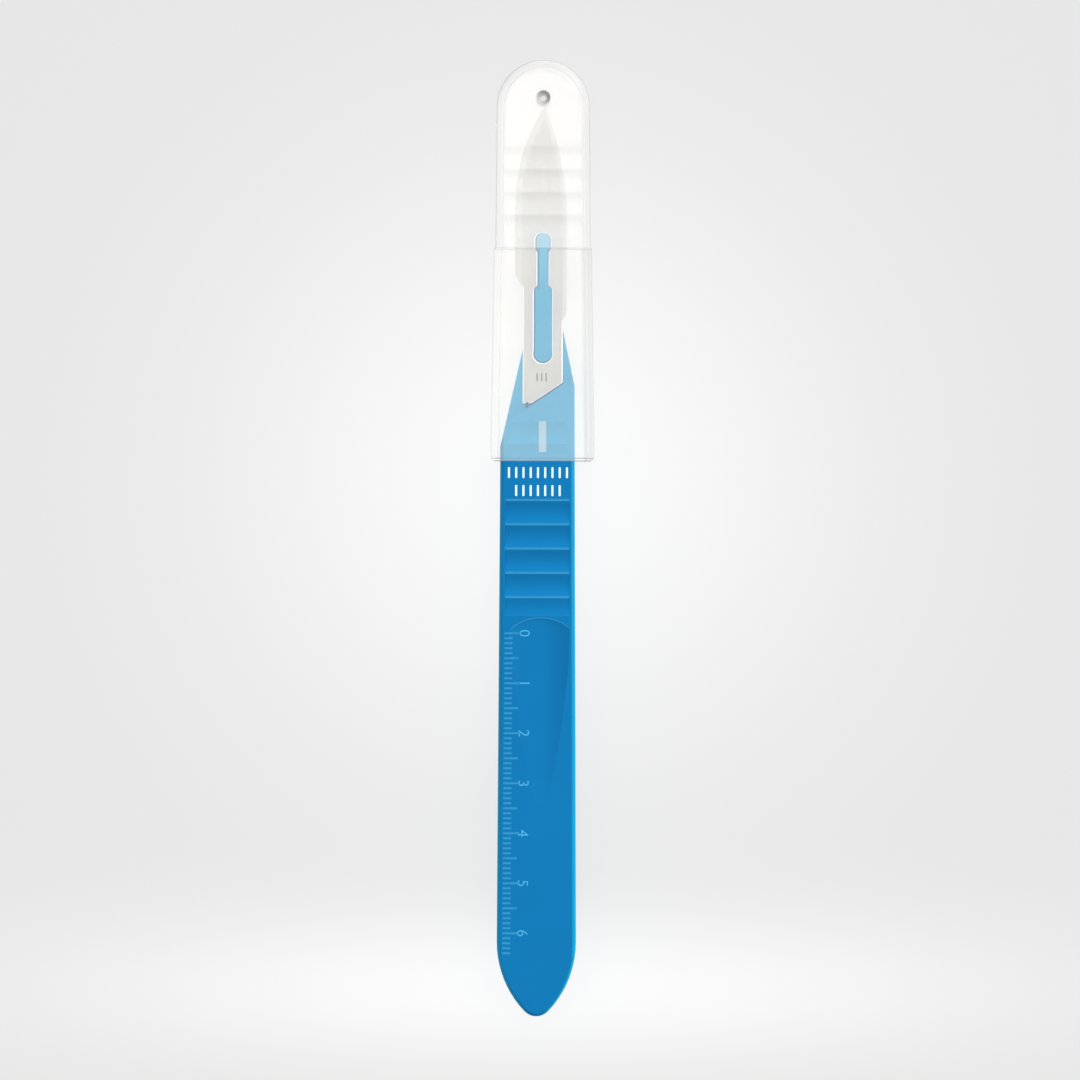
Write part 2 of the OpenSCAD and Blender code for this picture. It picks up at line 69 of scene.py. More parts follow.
# Sockets of the Mix node when it mixes colours
MIX_FACTOR, MIX_A, MIX_B, MIX_RESULT = 0, 6, 7, 2


def length(name, description, default):
    """A size in metres that the sidebar shows."""
    return bpy.props.FloatProperty(
        name=name, description=description, default=default, subtype="DISTANCE", precision=5
    )


def colour(name, description, default):
    """A linear colour that the sidebar shows."""
    return bpy.props.FloatVectorProperty(
        name=name, description=description, default=default, subtype="COLOR", min=0.0, max=1.0
    )


def share(name, description, default):
    """A factor from 0 to 1 that the sidebar shows."""
    return bpy.props.FloatProperty(
        name=name, description=description, default=default, subtype="FACTOR", min=0.0, max=1.0
    )


def number(name, description, default):
    """A plain number that the sidebar shows."""
    return bpy.props.FloatProperty(name=name, description=description, default=default)


def count(name, description, default):
    """A whole number that the sidebar shows."""
    return bpy.props.IntProperty(name=name, description=description, default=default, min=1)


class FinishSettings(bpy.types.PropertyGroup):
    """Colours and opacities of the plastics and the steel"""

    handle_colour: colour("Handle", "Blue plastic of the handle", (0.001, 0.152, 0.375))
    nose_colour: colour("Nose", "Handle where the guard's milky light falls on it", (0.001, 0.307, 0.5))
    tip_colour: colour("Boss tip", "Front end of the boss in the guard's light", (0.05, 0.38, 0.57))
    # Painted shadow in the gap beside the blade's tang
    crease_colour: colour("Crease", "Floor of the gap beside the blade's tang", (0.002, 0.11, 0.22))
    edge_colour: colour("Edges", "Long edges that catch the light", (0.003, 0.25, 0.45))
    # Painted highlight on the crests between the scallops
    crest_colour: colour("Crests", "Crests between the scallops", (0.032, 0.27, 0.49))
    # Painted highlight on the raised marks of the scale
    mark_colour: colour("Marks", "Raised marks of the scale", (0.026, 0.26, 0.52))
    # Painted highlight on the raised numerals
    numeral_colour: colour("Numerals", "Raised numerals of the scale", (0.055, 0.34, 0.6))
    steel_colour: colour("Steel", "Ground faces of the blade", (0.89, 0.89, 0.87))
    bevel_colour: colour("Bevel", "Bevels of the blade's edges", (0.98, 0.98, 0.96))
    rim_colour: colour("Rim highlights", "Stamped rims of the blade", (0.95, 0.95, 0.94))
    guard_colour: colour("Cap", "Milky plastic of the guard's cap", (0.799, 0.795, 0.781))
    sleeve_colour: colour("Sleeve", "Milky plastic of the guard's sleeve", (0.815, 0.797, 0.765))
    # Painted shade below each grip ridge of the guard
    ridge_colour: colour("Guard ridges", "Steep side of each grip ridge", (0.738, 0.735, 0.72))
    # Painted shade lines of the guard
    line_colour: colour("Guard lines", "Outline, step and mouth of the guard", (0.3, 0.3, 0.29))
    # Painted shade in the guard's hole
    hole_colour: colour("Hole", "Wall and chamfer of the guard's hole", (0.4, 0.4, 0.39))
    print_colour: colour("Print", "White ink on the handle", (0.66, 0.86, 0.9))
    etch_colour: colour("Etching", "Dark etching on the blade", (0.2, 0.2, 0.2))
    sleeve_opacity: share("Sleeve", "Opacity of each face of the sleeve", 0.13)
    cap_opacity: share("Cap", "Opacity of each face of the cap", 0.27)
    back_opacity: share("Back wall", "Opacity of each face of the guard's back wall", 0.4)
    rib_opacity: share("Rib", "Opacity of the retention rib's face", 0.47)


class NumeralSettings(bpy.types.PropertyGroup):
    """Sizes of the raised numerals of the scale"""

    last: count("Last numeral", "The scale is numbered from 0 to this", 6)
    pitch: length("Pitch", "From numeral to numeral", 10 * MM)
    height: length("Height", "Height of a numeral", 2.1 * MM)
    proud: length("Proud", "How far a numeral stands out", 0.1 * MM)
    first_x: length("First place", "Middle of the zero, from the slot's axis", -3.48 * MM)
    drift: number("Drift", "Shift to the left for each metre down the scale", 0.005)


class PrintSettings(bpy.types.PropertyGroup):
    """Sizes of the plain white bars on the handle"""

    bar_width: length("Bar width", "Width of a bar", 0.42 * MM)
    bar_height: length("Bar height", "Height of a bar", 2.2 * MM)
    pitch: length("Pitch", "From bar to bar", 1.45 * MM)
    middle_x: length("Middle", "Middle of the rows, from the slot's axis", -0.9 * MM)
    upper_bars: count("Upper row", "Bars in the upper row", 9)
    upper_drop: length("Upper row", "From the guard's mouth to the row's middle", 2.3 * MM)
    lower_bars: count("Lower row", "Bars in the lower row", 7)
    lower_drop: length("Lower row", "From the guard's mouth to the row's middle", 5.9 * MM)
    proud: length("Proud", "Thickness of the ink", 0.03 * MM)


class EtchSettings(bpy.types.PropertyGroup):
    """Sizes of the plain etched bars on the blade's tang"""

    bar_width: length("Bar width", "Width of a bar", 0.3 * MM)
    bar_height: length("Bar height", "Height of a bar", 1.7 * MM)
    pitch: length("Pitch", "From bar to bar", 0.9 * MM)
    bars: count("Bars", "Number of bars", 3)
    rise: length("Rise", "From the tang's end to the middle of the bars", 5.2 * MM)
    proud: length("Proud", "Thickness of the etching", 0.01 * MM)


class StageSettings(bpy.types.PropertyGroup):
    """Floor, lights and camera"""

    floor_size: length("Floor", "Side of the floor", 6.0)
    floor_colour: colour("Floor", "Pale floor", (0.8, 0.8, 0.8))
    # Painted light: lighter pools on the floor, and a glow of its own for part of its brightness
    pool_colour: colour("Pools", "Lighter pools on the floor", (0.975, 0.975, 0.975))
    floor_glow: share("Floor glow", "Part of the floor's light that comes from below it", 0.78)
    surroundings: number("Surroundings", "Brightness all round", 0.75)
    key_strength: number("Key", "Light from the right and the top, in watts a square metre", 3.4)
    key_from: bpy.props.FloatVectorProperty(
        name="Key from", description="Where the key light comes from", default=(1.2, 1.1, 1.0),
        subtype="DIRECTION",
    )
    key_angle: bpy.props.FloatProperty(
        name="Key angle", description="Width of the key light, which softens it",
        default=math.radians(25.0), subtype="ANGLE",
    )
    camera_height: length("Camera height", "From the handle's face to the camera", 1.2)
    camera_lens: number("Lens", "Focal length, in millimetres", 200.0)
    aim_x: length("Aim X", "What the camera looks at", -0.46 * MM)
    aim_y: length("Aim Y", "What the camera looks at", -0.38 * MM)
    roll: bpy.props.FloatProperty(
        name="Roll", description="Turn of the camera about its view", default=math.radians(0.14),
        subtype="ANGLE",
    )


class Wiring:
    """Adds nodes to a tree and links them: a value is a number, a colour or another output."""

    def __init__(self, tree):
        self.tree = tree

    def feed(self, socket, value):
        if isinstance(value, bpy.types.NodeSocket):
            self.tree.links.new(value, socket)
        else:
            socket.default_value = value

    def node(self, kind, inputs=None, **settings):
        node = self.tree.nodes.new(kind)
        for name, value in settings.items():
            setattr(node, name, value)
        for name, value in (inputs or {}).items():
            self.feed(node.inputs[name], value)
        return node

    def maths(self, operation, *values):
        inputs = dict(enumerate(values))
        return self.node("ShaderNodeMath", inputs, operation=operation).outputs[0]

    def vector_maths(self, operation, *values):
        inputs = dict(enumerate(values))
        return self.node("ShaderNodeVectorMath", inputs, operation=operation)

    def mixed(self, factor, a, b):
        inputs = {MIX_FACTOR: factor, MIX_A: a, MIX_B: b}
        return self.node("ShaderNodeMix", inputs, data_type="RGBA").outputs[MIX_RESULT]

    def ranged(self, value, low, high, to_low=0.0, to_high=1.0, smooth=False):
        inputs = {
            "Value": value, "From Min": low, "From Max": high, "To Min": to_low, "To Max": to_high
        }
        kind = "SMOOTHSTEP" if smooth else "LINEAR"
        node = self.node("ShaderNodeMapRange", inputs, interpolation_type=kind)
        return node.outputs[0]

    def group(self, tree, **inputs):
        node = self.tree.nodes.new("ShaderNodeGroup")
        node.node_tree = tree
        for name, value in inputs.items():
            self.feed(node.inputs[name.replace("_", " ").capitalize()], value)
        return node


def rgba(values):
    """A colour setting as a node's colour."""
    return (*values, 1.0)


def new_group(name, inputs, outputs):
    """An empty node group with named number or vector inputs and number outputs."""
    tree = bpy.data.node_groups.new(name, "ShaderNodeTree")
    for socket, default in inputs.items():
        kind = "NodeSocketVector" if default is None else "NodeSocketFloat"
        made = tree.interface.new_socket(name=socket, in_out="INPUT", socket_type=kind)
        if default is not None:
            made.default_value = default
    for socket in outputs:
        tree.interface.new_socket(name=socket, in_out="OUTPUT", socket_type="NodeSocketFloat")
    return tree


def span_group():
    """Group that is 1 where a value lies between two limits and fades out over the softness."""
    tree = new_group("Span", {"Value": 0.0, "Low": 0.0, "High": 1.0, "Softness": 0.0001}, ["Mask"])
    w = Wiring(tree)
    given = w.node("NodeGroupInput").outputs
    above = w.ranged(
        given["Value"], given["Low"], w.maths("ADD", given["Low"], given["Softness"]), smooth=True
    )
    below = w.ranged(
        given["Value"], w.maths("SUBTRACT", given["High"], given["Softness"]), given["High"],
        1.0, 0.0, smooth=True,
    )
    w.node("NodeGroupOutput", {"Mask": w.maths("MULTIPLY", above, below)})
    return tree


def skin_group():
    """Group for a moulded skin: fine grain for the bump and slow clouds in the shade."""
    tree = new_group(
        "Moulded skin", {"Vector": None, "Grain scale": 3000.0, "Cloud scale": 60.0},
        ["Grain", "Cloud"],
    )
    w = Wiring(tree)
    given = w.node("NodeGroupInput").outputs
    grain = w.node(
        "ShaderNodeTexNoise",
        {"Vector": given["Vector"], "Scale": given["Grain scale"], "Detail": 3.0},
    )
    cloud = w.node(
        "ShaderNodeTexNoise",
        {"Vector": given["Vector"], "Scale": given["Cloud scale"], "Detail": 2.0},
    )
    w.node("NodeGroupOutput", {"Grain": grain.outputs[0], "Cloud": cloud.outputs[0]})
    return tree


def lines_group():
    """Group for fine lines that run along Y: their height for the bump."""
    tree = new_group("Fine lines", {"Vector": None, "Across": 4000.0, "Along": 60.0}, ["Lines"])
    w = Wiring(tree)
    given = w.node("NodeGroupInput").outputs
    scale = w.node(
        "ShaderNodeCombineXYZ", {"X": given["Across"], "Y": given["Along"], "Z": given["Across"]}
    )
    stretched = w.vector_maths("MULTIPLY", given["Vector"], scale.outputs[0]).outputs[0]
    noise = w.node("ShaderNodeTexNoise", {"Vector": stretched, "Scale": 1.0, "Detail": 4.0})
    w.node("NodeGroupOutput", {"Lines": noise.outputs[0]})
    return tree


def pool_group():
    """Group for a soft pool of painted light on the floor: 1 in its middle and fading out over its
    spread.
    """
    tree = new_group("Soft pool", {"Vector": None, "Middle": None, "Spread": None}, ["Mask"])
    w = Wiring(tree)
    given = w.node("NodeGroupInput").outputs
    offset = w.vector_maths("SUBTRACT", given["Vector"], given["Middle"]).outputs[0]
    scaled = w.vector_maths("DIVIDE", offset, given["Spread"]).outputs[0]
    squared = w.vector_maths("DOT_PRODUCT", scaled, scaled).outputs["Value"]
    mask = w.maths("EXPONENT", w.maths("MULTIPLY", squared, -1.0))
    w.node("NodeGroupOutput", {"Mask": mask})
    return tree


def group_tree(name, make):
    """The node group of that name, built the first time that it is asked for."""
    return bpy.data.node_groups.get(name) or make()


def new_material(name):
    """An empty material, with its wiring and its place in space."""
    material = bpy.data.materials.new(name)
    material.use_nodes = True
    material.node_tree.nodes.clear()
    w = Wiring(material.node_tree)
    place = w.node("ShaderNodeTexCoord")
    return material, w, place


def principled(w, **inputs):
    """The Principled shader at the end of a material. Returns its node."""
    shader = w.node("ShaderNodeBsdfPrincipled")
    for name, value in inputs.items():
        w.feed(shader.inputs[name.replace("_", " ").title().replace("Ior", "IOR")], value)
    w.node("ShaderNodeOutputMaterial", {"Surface": shader.outputs[0]})
    return shader


def bumped(w, height, strength, distance):
    """Normal of a bump of that height."""
    inputs = {"Height": height, "Strength": strength, "Distance": distance}
    return w.node("ShaderNodeBump", inputs).outputs[0]


def toned(w, base, value):
    """A colour made lighter or darker by that factor."""
    return w.node("ShaderNodeHueSaturation", {"Color": base, "Value": value}).outputs[0]


def shaded(w, base, cloud, amount):
    """A colour that gets a little lighter and darker with the clouds."""
    return toned(w, base, w.ranged(cloud, 0.3, 0.7, 1.0 - amount, 1.0 + amount))


def edge_mask(w, radius):
    """Mask of the edges where the surface turns towards or away from Y."""
    rounded = w.node("ShaderNodeBevel", {"Radius": radius}, samples=8).outputs[0]
    true = w.node("ShaderNodeNewGeometry").outputs["Normal"]
    turn = w.vector_maths("SUBTRACT", rounded, true).outputs[0]
    along = w.node("ShaderNodeSeparateXYZ", {0: turn}).outputs["Y"]
    return w.ranged(w.maths("ABSOLUTE", along), 0.05, 0.16)


def covered(w, reach):
    """Mask of the surface that has something close above it, as the nose has in the guard."""
    openness = w.node("ShaderNodeAmbientOcclusion", {"Distance": reach}, samples=16).outputs["AO"]
    return w.ranged(openness, 0.42, 0.28)


def row_fade(w, distance, pitch, rows, full, gone):
    """Mask that is 1 from each of the evenly spaced rows to full and fades out towards gone."""
    past = w.maths("MODULO", distance, pitch)
    fade = w.ranged(past, gone, full, smooth=True)
    inside = w.group(
        group_tree("Span", span_group), value=distance, low=0.0, high=rows * pitch,
        softness=0.02 * MM,
    )
    return w.maths("MULTIPLY", fade, inside.outputs[0])


def handle_material(settings):
    """Blue moulded plastic, with painted light: lighter on the nose under the guard, painted highlights
    on the crest lines, the long edges and the raised marks, and painted shade on slopes that face away
    from the light and in the gap beside the tang.
    """
    material, w, place = new_material("blue_plastic")
    at = w.node("ShaderNodeSeparateXYZ", {0: place.outputs["Object"]}).outputs
    skin = w.group(group_tree("Moulded skin", skin_group), vector=place.outputs["Object"])
    # Painted light: where the guard covers the nose, the nose and the boss tip take lighter colours for
    # the guard's milky light
    nose = w.ranged(at["Y"], MOUTH_Y - 0.1 * MM, MOUTH_Y + 0.4 * MM, smooth=True)
    nose = w.maths("MULTIPLY", nose, covered(w, 6 * MM))
    base = w.mixed(nose, rgba(settings.handle_colour), rgba(settings.nose_colour))
    tip = w.maths("MULTIPLY", nose, w.ranged(at["Y"], 50.5 * MM, 57.5 * MM))
    base = w.mixed(tip, base, rgba(settings.tip_colour))
    facing = w.node("ShaderNodeSeparateXYZ", {0: place.outputs["Normal"]}).outputs
    # Painted light and shade: faces tilted towards the top are made lighter, faces tilted to either
    # side darker
    slope_shade = w.maths(
        "MULTIPLY", w.ranged(facing["Y"], -0.2, 0.2, 0.95, 1.07),
        w.ranged(facing["X"], -0.16, -0.02, 0.88, 1.0),
    )
    slope_shade = w.maths("MULTIPLY", slope_shade, w.ranged(facing["X"], 0.02, 0.12, 1.0, 0.95))
    base = toned(w, base, slope_shade)
    # Painted highlight: the right edge's stripe and the steep sides take the lighter edge colour
    to_side = w.maths("SUBTRACT", at["X"], HANDLE_MIDDLE_X)
    half = w.ranged(at["Y"], HANDLE_LOW.y, MOUTH_Y, TAIL_HALF, FRONT_HALF)
    in_from_right = w.maths("SUBTRACT", half, to_side)
    right_edge_highlight = w.ranged(in_from_right, 0.8 * MM, 0.6 * MM)
    right_edge_highlight = w.maths("MULTIPLY", right_edge_highlight, w.maths("SUBTRACT", 1.0, nose))
    side = w.ranged(w.maths("ABSOLUTE", facing["X"]), 0.2, 0.45)
    base = w.mixed(w.maths("MAXIMUM", right_edge_highlight, side), base, rgba(settings.edge_colour))
    # Painted highlight: a light line along each crest between the scallops and along edges that turn
    # towards or away from Y
    above = w.maths("SUBTRACT", at["Y"], LAST_CREST_Y)
    rows = row_fade(w, above, SCALLOP_PITCH, SCALLOPS, 0.2 * MM, 0.6 * MM)
    beside = w.maths("ABSOLUTE", to_side)
    rows = w.maths("MULTIPLY", rows, w.ranged(beside, CREST_HALF, CREST_HALF - 0.2 * MM))
    crests = w.maths("MAXIMUM", rows, w.maths("MULTIPLY", edge_mask(w, 0.25 * MM), 0.7))
    crests = w.maths("MULTIPLY", crests, 0.85)
    base = w.mixed(crests, base, rgba(settings.crest_colour))
    # Painted shadow: the seat's floor beside the blade's tang is darkened as if shaded by the blade
    sunk_shadow = w.ranged(at["Z"], SEAT_Z + 0.3 * MM, SEAT_Z + 0.2 * MM)
    sunk_shadow = w.maths("MULTIPLY", sunk_shadow, w.ranged(facing["Z"], 0.5, 0.9))
    under_tang = w.group(
        group_tree("Span", span_group), value=at["X"], low=-3.5 * MM, high=4.2 * MM
    ).outputs[0]
    base = w.mixed(w.maths("MULTIPLY", under_tang, sunk_shadow), base, rgba(settings.crease_colour))
    # Painted highlight: the middle of each raised mark's top is lighter
    marks = w.group(
        group_tree("Span", span_group), value=at["Z"], low=FACE_Z + 0.2 * MARK_HEIGHT, high=1.0,
        softness=0.5 * MARK_HEIGHT,
    )
    down = w.maths("MODULO", w.maths("SUBTRACT", top_of_marks() + MARK_PITCH / 2, at["Y"]), MARK_PITCH)
    crown_highlight = w.group(
        group_tree("Span", span_group), value=down, low=MARK_PITCH / 2 - 0.12 * MM,
        high=MARK_PITCH / 2 + 0.12 * MM, softness=0.04 * MM,
    )
    marks = w.maths("MULTIPLY", marks.outputs[0], crown_highlight.outputs[0])
    base = w.mixed(marks, base, rgba(settings.mark_colour))
    base = shaded(w, base, skin.outputs["Cloud"], 0.03)
    rough = w.ranged(skin.outputs["Cloud"], 0.3, 0.7, 0.38, 0.44)
    normal = bumped(w, skin.outputs["Grain"], 0.12, 0.02 * MM)
    principled(w, base_color=base, roughness=rough, normal=normal, specular_ior_level=0.1)
    return material


def numeral_material(settings):
    """Raised plastic with a painted highlight: drawn a little lighter than the handle."""
    material, w, place = new_material("highlit_numeral_plastic")
    skin = w.group(group_tree("Moulded skin", skin_group), vector=place.outputs["Object"])
    base = shaded(w, rgba(settings.numeral_colour), skin.outputs["Cloud"], 0.05)
    normal = bumped(w, skin.outputs["Grain"], 0.1, 0.02 * MM)
    principled(w, base_color=base, roughness=0.45, normal=normal, specular_ior_level=0.12)
    return material


def steel_material(settings):
    """Ground steel: lines along the faces, a lighter bevel and painted highlights on the stamped rims.
    """
    material, w, place = new_material("ground_steel")
    lines = w.group(group_tree("Fine lines", lines_group), vector=place.outputs["Object"])
    skin = w.group(
        group_tree("Moulded skin", skin_group), vector=place.outputs["Object"], cloud_scale=90.0
    )
    tilt = w.node("ShaderNodeSeparateXYZ", {0: place.outputs["Normal"]}).outputs["Z"]
    flatness = w.maths("ABSOLUTE", tilt)
    # Painted highlight: the stamped rims are drawn near-white and less metallic
    rim_highlight = w.group(
        group_tree("Span", span_group), value=flatness, low=0.9, high=0.97, softness=0.005
    ).outputs[0]
    ground = w.ranged(flatness, 0.9985, 0.993)
    base = w.mixed(ground, rgba(settings.steel_colour), rgba(settings.bevel_colour))
    base = shaded(w, base, skin.outputs["Cloud"], 0.03)
    base = shaded(w, base, lines.outputs["Lines"], 0.05)
    base = w.mixed(rim_highlight, base, rgba(settings.rim_colour))
    rough = w.ranged(lines.outputs["Lines"], 0.3, 0.7, 0.18, 0.26)
    metal = w.maths("SUBTRACT", 1.0, w.maths("MULTIPLY", rim_highlight, 0.8))
    normal = bumped(w, lines.outputs["Lines"], 0.15, 0.004 * MM)
    principled(w, base_color=base, metallic=metal, roughness=rough, normal=normal)
    return material


def guard_material(settings):
    """Milky see-through plastic, with painted shade: grey lines at its outline, step and mouth, a grey
    hole, darker bands below the ridges, and sides evened out against the key light.
    """
    material, w, place = new_material("milky_plastic")
    at = w.node("ShaderNodeSeparateXYZ", {0: place.outputs["Object"]}).outputs
    span = group_tree("Span", span_group)
    skin = w.group(
        group_tree("Moulded skin", skin_group), vector=place.outputs["Object"], cloud_scale=120.0
    )

    def line(middle, half):
        return w.group(
            span, value=at["Y"], low=middle - half, high=middle + half, softness=0.5 * half
        ).outputs[0]

    step_y = 58.0 * MM
    cap = w.ranged(at["Y"], step_y - 0.02 * MM, step_y + 0.02 * MM)
    opacity = w.ranged(cap, 0.0, 1.0, settings.sleeve_opacity, settings.cap_opacity)
    back = w.maths("LESS_THAN", at["Z"], GUARD_MIDDLE.z)
    opacity = w.ranged(back, 0.0, 1.0, opacity, settings.back_opacity)
    on_rib = w.maths(
        "MULTIPLY",
        w.group(span, value=at["X"], low=-0.8 * MM, high=0.8 * MM).outputs[0],
        w.group(span, value=at["Z"], low=6.2 * MM, high=6.45 * MM, softness=0.03 * MM).outputs[0],
    )
    on_rib = w.maths("MULTIPLY", on_rib, w.maths("SUBTRACT", 1.0, cap))
    opacity = w.ranged(on_rib, 0.0, 1.0, opacity, settings.rib_opacity)
    # Painted shade: grey lines where the guard is seen edge-on, at its step and at its mouth, which
    # also raise its opacity
    facing = w.node("ShaderNodeLayerWeight", {"Blend": 0.5}).outputs["Facing"]
    outwards = w.vector_maths("SUBTRACT", place.outputs["Object"], GUARD_MIDDLE).outputs[0]
    outwards = w.vector_maths("DOT_PRODUCT", outwards, place.outputs["Normal"]).outputs["Value"]
    outer = w.maths("GREATER_THAN", outwards, 0.0)
    outline = w.maths("MULTIPLY", outer, w.ranged(facing, 0.52, 0.72, smooth=True))
    step = w.maths("MULTIPLY", line(step_y, 0.09 * MM), 0.6)
    lines = w.maths("MAXIMUM", step, line(MOUTH_Y + 0.05 * MM, 0.12 * MM))
    lines = w.maths("MAXIMUM", lines, line(MOUTH_Y + 0.6 * MM, 0.1 * MM))
    lines = w.maths("MAXIMUM", lines, outline)
    # Painted shade: round the hole the guard is grey and nearly opaque
    offset = w.vector_maths("SUBTRACT", place.outputs["Object"], (0.0, HOLE_Y, 0.0)).outputs[0]
    offset = w.vector_maths("MULTIPLY", offset, (1.0, 1.0, 0.0)).outputs[0]
    from_hole = w.vector_maths("LENGTH", offset).outputs["Value"]
    hole = w.ranged(from_hole, HOLE_RIM_R + 0.05 * MM, HOLE_RIM_R - 0.02 * MM)
    opacity = w.maths("ADD", opacity, w.maths("MULTIPLY", lines, 0.25))
    opacity = w.maths("MINIMUM", w.maths("ADD", opacity, hole), 1.0)
    shadow_ray = w.node("ShaderNodeLightPath").outputs["Is Shadow Ray"]
    opacity = w.maths("MULTIPLY", opacity, w.ranged(shadow_ray, 0.0, 1.0, 1.0, 0.4))
    base = w.mixed(cap, rgba(settings.sleeve_colour), rgba(settings.guard_colour))
    base = shaded(w, base, skin.outputs["Cloud"], 0.015)
    # Painted light and shade: faces turned to the left are made lighter and those turned to the right
    # darker, against the key light
    light_evening_x = w.node("ShaderNodeSeparateXYZ", {0: place.outputs["Normal"]}).outputs["X"]
    base = toned(w, base, w.ranged(light_evening_x, -0.6, 0.6, 1.1, 0.9))
    # Painted shade: below each grip ridge's crest the guard is darker, fading down the steep side
    below = w.maths("SUBTRACT", RIDGE_TOP_Y, at["Y"])
    ridges = row_fade(w, below, RIDGE_PITCH, RIDGES, 0.3 * MM, 2.3 * MM)
    beside = w.maths("ABSOLUTE", at["X"])
    ridges = w.maths("MULTIPLY", ridges, w.ranged(beside, RIDGE_HALF, RIDGE_HALF - 0.4 * MM))
    base = w.mixed(ridges, base, rgba(settings.ridge_colour))
    base = w.mixed(lines, base, rgba(settings.line_colour))
    base = w.mixed(hole, base, rgba(settings.hole_colour))
    normal = bumped(w, skin.outputs["Grain"], 0.06, 0.02 * MM)
    principled(w, base_color=base, roughness=0.32, alpha=opacity, normal=normal, ior=1.5)
    return material


def ink_material(settings):
    """White ink, thin and a little uneven."""
    material, w, place = new_material("white_ink")
    skin = w.group(group_tree("Moulded skin", skin_group), vector=place.outputs["Object"])
    base = shaded(w, rgba(settings.print_colour), skin.outputs["Grain"], 0.03)
    normal = bumped(w, skin.outputs["Grain"], 0.1, 0.01 * MM)
    principled(w, base_color=base, roughness=0.5, normal=normal)
    return material


def etch_material(settings):
    """Etched steel, dark and dull, with the grinding lines still in it."""
    material, w, place = new_material("etched_steel")
    lines = w.group(group_tree("Fine lines", lines_group), vector=place.outputs["Object"])
    base = shaded(w, rgba(settings.etch_colour), lines.outputs["Lines"], 0.1)
    normal = bumped(w, lines.outputs["Lines"], 0.2, 0.004 * MM)
    principled(w, base_color=base, metallic=0.5, roughness=0.6, normal=normal)
    return material


def white_brightness(settings):
    """Brightness of a level white surface in the open."""
    upright = Vector(settings.key_from).normalized().z
    return settings.surroundings + settings.key_strength * upright / math.pi


def floor_material(settings):
    """Pale matt floor with two soft painted pools of light, which glows for part of its brightness."""
    material, w, place = new_material("pale_floor")
    pool = group_tree("Soft pool", pool_group)
    # Painted light: two soft lighter pools on the floor
    round_pool = w.group(
        pool, vector=place.outputs["Object"], middle=(-0.6 * MM, 13.6 * MM, 0.0),
        spread=(60 * MM, 60 * MM, 1.0),
    ).outputs[0]
    low_pool = w.group(
        pool, vector=place.outputs["Object"], middle=(-0.6 * MM, -90.8 * MM, 0.0),
        spread=(92 * MM, 15.6 * MM, 1.0),
    ).outputs[0]
    mask = w.maths("MINIMUM", w.maths("ADD", round_pool, low_pool), 1.0)
    seen = w.mixed(mask, rgba(settings.floor_colour), rgba(settings.pool_colour))
    reflected = (1.0 - settings.floor_glow) / white_brightness(settings)
    base = w.vector_maths("MULTIPLY", seen, (reflected, reflected, reflected)).outputs[0]
    grain = w.node("ShaderNodeTexNoise", {"Vector": place.outputs["Object"], "Scale": 400.0})
    normal = bumped(w, grain.outputs[0], 0.02, 0.02 * MM)
    # The floor glows by its emission for part of its brightness, which keeps shadows on it faint
    principled(
        w, base_color=base, roughness=1.0, specular_ior_level=0.0, normal=normal,
        emission_color=seen, emission_strength=settings.floor_glow,
    )
    return material


def give_material(piece, material):
    """The piece has this one material."""
    piece.data.materials.clear()
    piece.data.materials.append(material)


def only(piece):
    """The piece is selected and active, and nothing else is."""
    bpy.ops.object.select_all(action="DESELECT")
    piece.select_set(True)
    bpy.context.view_layer.objects.active = piece


def apply_modifiers(piece):
    """Every modifier of the piece is made part of its mesh."""
    only(piece)
    for name in [modifier.name for modifier in piece.modifiers]:
        bpy.ops.object.modifier_apply(modifier=name)


def tidy_mesh(piece):
    """Doubles are merged, normals point outwards and only sharp edges stay sharp."""
    only(piece)
    bpy.ops.object.mode_set(mode="EDIT")
    bpy.ops.mesh.select_all(action="SELECT")
    bpy.ops.mesh.remove_doubles(threshold=0.002 * MM)
    bpy.ops.mesh.normals_make_consistent(inside=False)
    bpy.ops.object.mode_set(mode="OBJECT")
    bpy.ops.object.shade_smooth_by_angle(angle=math.radians(30))


def face_up(piece):
    """The faces of a flat piece point upwards."""
    if piece.data.polygons[0].normal.z < 0:
        only(piece)
        bpy.ops.object.mode_set(mode="EDIT")
        bpy.ops.mesh.select_all(action="SELECT")
        bpy.ops.mesh.flip_normals()
        bpy.ops.object.mode_set(mode="OBJECT")


def thicken(piece, proud, root):
    """A flat piece gets a wall that stands out by proud and reaches in by root."""
    wall = piece.modifiers.new("wall", "SOLIDIFY")
    wall.thickness = proud + root
    wall.offset = (proud - root) / (proud + root)
    apply_modifiers(piece)
    tidy_mesh(piece)


def rounded_bars(name, width, height, pitch, bars, middle):
    """A row of flat bars with rounded corners, along X about the middle."""
    bpy.ops.object.select_all(action="DESELECT")
    bpy.ops.mesh.primitive_plane_add(size=1.0)
    row = bpy.context.object
    row.name = row.data.name = name
    row.scale = (width, height, 1.0)
    row.location = middle - Vector((pitch * (bars - 1) / 2, 0.0, 0.0))
    bpy.ops.object.transform_apply(location=True, rotation=True, scale=True)
    bpy.ops.object.mode_set(mode="EDIT")
    bpy.ops.mesh.select_all(action="SELECT")
    bpy.ops.mesh.bevel(offset=0.45 * width, segments=5, affect="VERTICES")
    bpy.ops.object.mode_set(mode="OBJECT")
    repeat = row.modifiers.new("repeat", "ARRAY")
    repeat.count = bars
    repeat.use_relative_offset = False
    repeat.use_constant_offset = True
    repeat.constant_offset_displace = (pitch, 0.0, 0.0)
    apply_modifiers(row)
    face_up(row)
    return row


